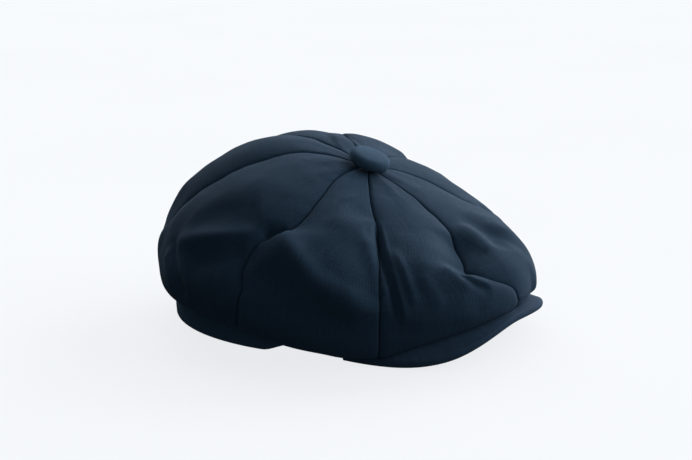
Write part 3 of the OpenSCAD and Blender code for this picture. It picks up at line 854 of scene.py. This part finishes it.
def button_cover():
    loop = np.array(BUTTON_OUTSIDE + BUTTON_INSIDE)
    a, radius, z = spun(loop, 144)
    point = np.arange(len(loop))[None]
    # gathers down the side and under the edge, and a little unevenness on the top
    down = np.clip((6.6 - z) / 6.6, 0, 1) * (point < len(BUTTON_OUTSIDE))
    gather = cosd(a * 19) * 0.5 + cosd(a * 31 + 50) * 0.35 + cosd(a * 47 + 20) * 0.25
    radius = radius + gather * 0.22 * down ** 1.6
    pts = np.stack([radius * sind(a), -radius * cosd(a), z], -1)
    pts[..., 2] += (point < BUTTON_TOP_POINTS) * 0.10 * noise3(pts, 9, 21)
    arc = lengths_along(loop)
    uv = np.stack([arc[None] * sind(a), arc[None] * cosd(a)], -1)
    faces = grid_faces(len(a), len(loop), wrap_rows=True)
    obj = make_object("button_cover_piece", to_frame(on_crown(pts, BUTTON_RISE)), faces, uv.reshape(-1, 2))
    dress(obj, button_cloth, "button_cover")


def disc_stay():
    loop = np.array(STAY_LOOP)
    a, radius, z = spun(loop, 72)
    pts = np.stack([radius * sind(a), -radius * cosd(a), z + 0.12 * cosd(a * 3) * radius / 13], -1)
    uv = np.stack([radius * sind(a), radius * cosd(a)], -1)
    faces = grid_faces(len(a), len(loop), wrap_rows=True, wrap_cols=True)
    obj = make_object("apex_stay_piece", to_frame(on_crown(pts, STAY_RISE)), faces, uv.reshape(-1, 2))
    dress(obj, stay_mat, "apex_stay")


# ---------------------------------------------------------------- labels
LABEL_T = 0.5
OFF_SWEATBAND, OFF_LINING = 0.15, 1.6


def label(node, turns, steps, place):
    """A blank label: a thin sheet laid on place(turn, step, rise), with a little play in it."""
    turn, step = np.meshgrid(turns, steps)
    outer, inner = place(turn, step, 0.0), place(turn, step, LABEL_T)
    play = 0.12 + 0.12 * noise3(outer, 12, 40)[..., None]
    obj = shell(node + "_piece", outer, inner + unit(inner - outer) * play, np.stack([turn * 1.7, step], -1))
    dress(obj, label_mat, node)


def on_sweatband(turn, height, rise):
    xy = ring(turn, BAND_LAYERS + OFF_SWEATBAND + rise)
    return np.stack([xy[..., 0], xy[..., 1], rim_z(turn) + height], -1)


def on_lining(turn, u, rise):
    return lining_point(turn, u, LINING_T + OFF_LINING + rise)


# ---------------------------------------------------------------- put it together
for i in range(8):
    crown_panel(i)
for i in range(8):
    lining_panel(i)

HEM = 3.6                 # the band's lower edge, turned in under the stay
band_h = BAND_H - GAP
band, band_len = ring_loop("outer_band_piece", 0, OUTER_CLOTH, 0, band_h,
                           band_cloth_painted_lighter, "outer_band", wave=0.5, bulge=0.5, hem=HEM)
STAY_LOW, STAY_HIGH = 1.5, BAND_H - 1
stay, stay_len = ring_loop("band_stay_piece", OUTER_CLOTH + GAP, STAY, STAY_LOW, STAY_HIGH,
                           stay_mat, "band_stay")
SWEAT_LOW = 0.6
sweat, sweat_len = ring_loop("sweatband_piece", SWEAT_INSET, SWEAT, SWEAT_LOW, SWEAT_H,
                             sweat_mat, "sweatband")

peak_covers()
button_cover()
disc_stay()
label("size_label", np.linspace(176, 184, 9), np.linspace(23, 7, 9), on_sweatband)
label("care_label", np.linspace(238.5, 253.5, 13), np.linspace(26, 8, 9), on_sweatband)
label("lining_label", np.linspace(159, 201, 31), np.linspace(0.42, 0.60, 13), on_lining)

CAD_LOOKS = {
    "peak_board": board_mat, "peak_tacks": thread_mat, "sweatband_stitches": thread_mat,
    "button_shell": metal_mat, "button_back": metal_mat, "button_shank": metal_mat,
    "button_thread": thread_mat,
}
for node_name, mat in CAD_LOOKS.items():
    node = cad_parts[node_name]
    node.data.materials.clear()
    node.data.materials.append(mat)

# ---------------------------------------------------------------- stage, light and camera
scene = bpy.context.scene
floor_mat, tree, shader = nodes_of("floor")
grain = stretched_noise(tree, add(tree, "ShaderNodeTexCoord").outputs["Object"], (3, 3, 3), 2, 0.5)
FLOOR_STOPS = [(0.3, (0.13, 0.135, 0.14)), (0.7, (0.14, 0.145, 0.15))]
tree.links.new(colour_ramp(tree, grain, FLOOR_STOPS), shader.inputs["Base Color"])
set_input(shader, "Roughness", 0.9)
set_input(shader, "Specular IOR Level", 0.0)
set_input(shader, "Emission Color", (0.955, 0.975, 1.0, 1))
set_input(shader, "Emission Strength", 0.83)
FLOOR_HALF = 15.0
corners = [(x * FLOOR_HALF, y * FLOOR_HALF, 0) for x, y in ((-1, -1), (1, -1), (1, 1), (-1, 1))]
floor = make_object("floor", corners, [(0, 1, 2, 3)], smooth=False)
floor.data.materials.append(floor_mat)
# the floor shines evenly, like a light table, and throws no light back on the cloth
floor.visible_diffuse = False
floor.visible_glossy = False

# directions from the cap: towards the camera, to the picture's right, and up in the picture
# the two angles are as the outline's fit gave them, and the aim below follows from it
AZIMUTH, ELEVATION = math.radians(-54.6), math.radians(16.5)
level_to_camera = Vector((math.sin(AZIMUTH), -math.cos(AZIMUTH), 0))
to_camera = level_to_camera * math.cos(ELEVATION) + Vector((0, 0, math.sin(ELEVATION)))
to_right = Vector((math.cos(AZIMUTH), math.sin(AZIMUTH), 0))
up = to_camera.cross(to_right)
DOME_BRIGHT_SIDE = (to_right * 0.6 + Vector((0, 0, 1)) * 0.5 - level_to_camera * 0.6).normalized()
DOME_STOPS = [(0.0, (0.05, 0.055, 0.06)), (0.5, (0.08, 0.085, 0.09)), (1.0, (0.5, 0.5, 0.5))]
DOME_STRENGTH = 0.6

world = bpy.data.worlds.new("world")
scene.world = world
world.use_nodes = True
# a soft studio dome, brightest above, behind the cap and to the picture's right
tree = world.node_tree
place = add(tree, "ShaderNodeTexCoord").outputs["Generated"]
toward = add(tree, "ShaderNodeVectorMath", operation="DOT_PRODUCT")
toward.inputs[1].default_value = DOME_BRIGHT_SIDE
tree.links.new(place, toward.inputs[0])
shade = colour_ramp(tree, maths(tree, "MULTIPLY_ADD", toward.outputs["Value"], 0.5, 0.5), DOME_STOPS)
tree.links.new(shade, tree.nodes["Background"].inputs["Color"])
set_input(tree.nodes["Background"], "Strength", DOME_STRENGTH)


def sun(name, direction, strength, angle, colour):
    """direction: where the light comes from."""
    data = bpy.data.lights.new(name, "SUN")
    data.energy = strength
    data.angle = math.radians(angle)
    data.color = colour
    obj = bpy.data.objects.new(name, data)
    obj.rotation_euler = Vector(direction).to_track_quat("Z", "Y").to_euler()
    scene.collection.objects.link(obj)


def from_camera(round_to_right, height):
    """A direction: its angle from the camera towards the picture's right, and its height, in degrees."""
    turn, rise = math.radians(round_to_right), math.radians(height)
    level = level_to_camera * math.cos(turn) + to_right * math.sin(turn)
    return level * math.cos(rise) + Vector((0, 0, math.sin(rise)))


sun("key", from_camera(140, 19), 3.3, 45, (0.99, 0.99, 1.0))
sun("right", from_camera(95, 22), 1.45, 50, (0.97, 0.99, 1.0))
sun("back_left", from_camera(192, 34), 2.0, 50, (0.96, 0.98, 1.0))
sun("fill", from_camera(-15, 18), 0.35, 90, (0.95, 0.98, 1.0))

CAMERA_DISTANCE = 1.0
AIM_SIDE, AIM_UP = 0.0141, 0.0546     # the camera's aim, from the middle of the head opening
LENS_MM, SENSOR_MM = 77.41, 36
middle = Vector((0, CENTRE_Y * MM, 0))
cam_data = bpy.data.cameras.new("camera")
cam_data.sensor_width = SENSOR_MM
cam_data.lens = LENS_MM
cam = bpy.data.objects.new("camera", cam_data)
scene.collection.objects.link(cam)
cam.location = middle + to_camera * CAMERA_DISTANCE
aim = middle + to_right * AIM_SIDE + up * AIM_UP
cam.rotation_euler = (cam.location - aim).to_track_quat("Z", "Y").to_euler()
scene.camera = cam
scene.view_settings.view_transform = "Standard"
